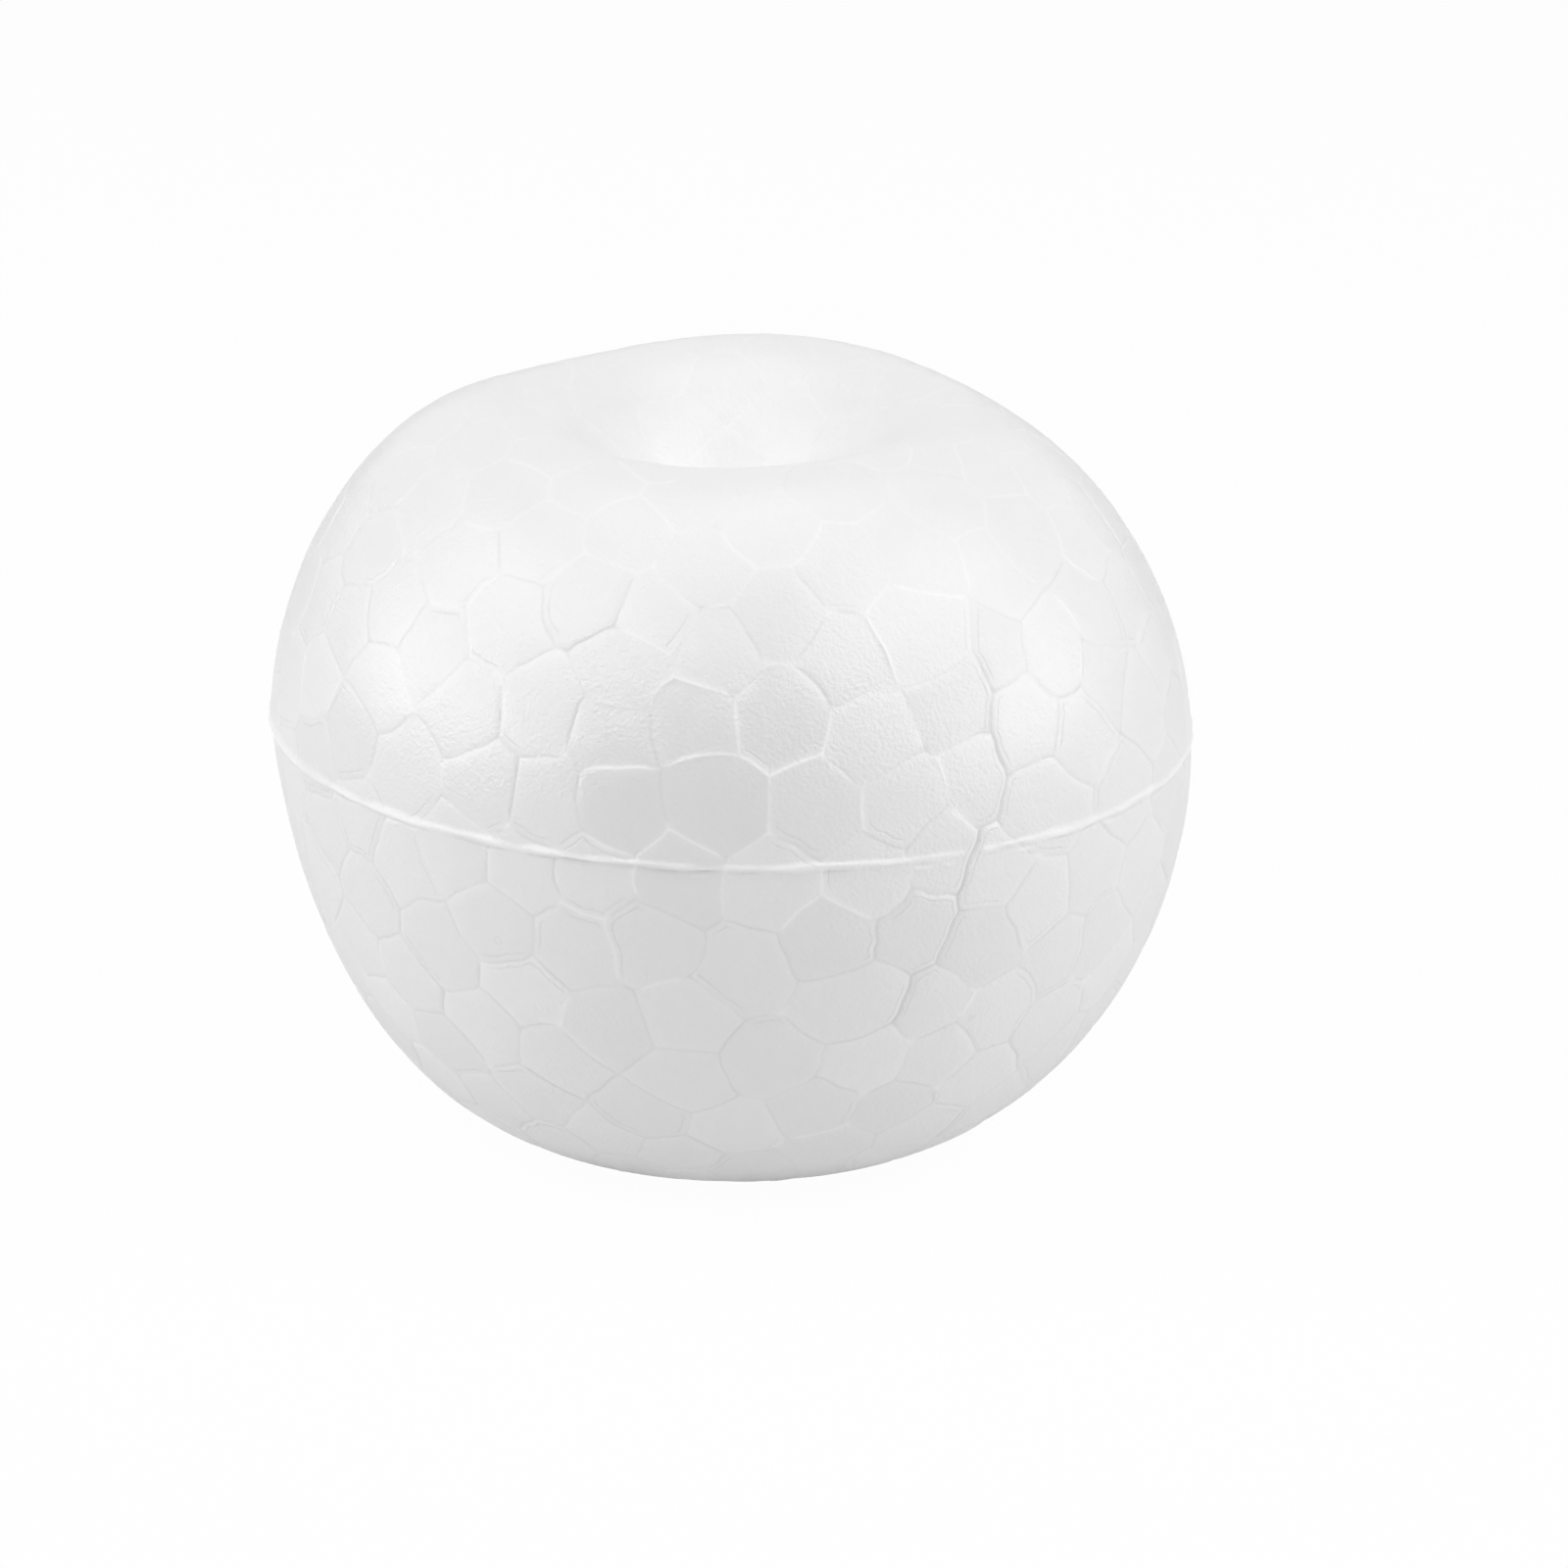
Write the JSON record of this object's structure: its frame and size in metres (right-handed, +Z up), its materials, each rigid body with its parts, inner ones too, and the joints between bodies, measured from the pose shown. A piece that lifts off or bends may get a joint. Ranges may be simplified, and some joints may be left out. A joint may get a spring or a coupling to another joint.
{
  "type": "polystyrene craft apple",
  "caption": "White foam apple blank with a stalk hollow in the top, a parting line round the middle and a flat base to stand on.",
  "frame": {"origin": "centre of the flat base, on the surface that the apple stands on", "axes": "+Z up through the stalk hollow, -Y towards the side that the picture shows, +X to its right"},
  "size_m": [0.075, 0.075, 0.0606],
  "materials": {
    "foam": "white expanded polystyrene, a moulded skin of fused beads with a faint sheen"
  },
  "bodies": {
    "root": {"foam_apple": "foam"}
  },
  "joints": []
}
